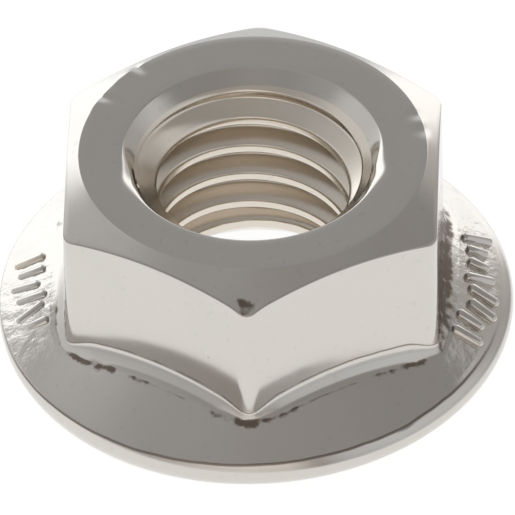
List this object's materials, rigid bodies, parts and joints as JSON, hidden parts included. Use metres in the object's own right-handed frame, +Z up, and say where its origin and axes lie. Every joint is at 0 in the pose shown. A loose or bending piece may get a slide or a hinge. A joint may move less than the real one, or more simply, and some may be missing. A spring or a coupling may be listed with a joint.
{
  "type": "serrated flange nut",
  "caption": "Hexagon nut with an integral washer flange whose underside carries ratchet teeth, threaded through and countersunk at both ends.",
  "frame": {"origin": "centre of the bearing side, on the plane of the tooth tips", "axes": "+Z up the thread axis, away from the flange; one hexagon corner points along -Y"},
  "size_m": [0.0138, 0.0138, 0.006],
  "materials": {
    "bright_steel": "bright cold-formed stainless steel, smooth and lightly polished"
  },
  "bodies": {
    "root": {"flange_nut": "bright_steel"}
  },
  "joints": []
}
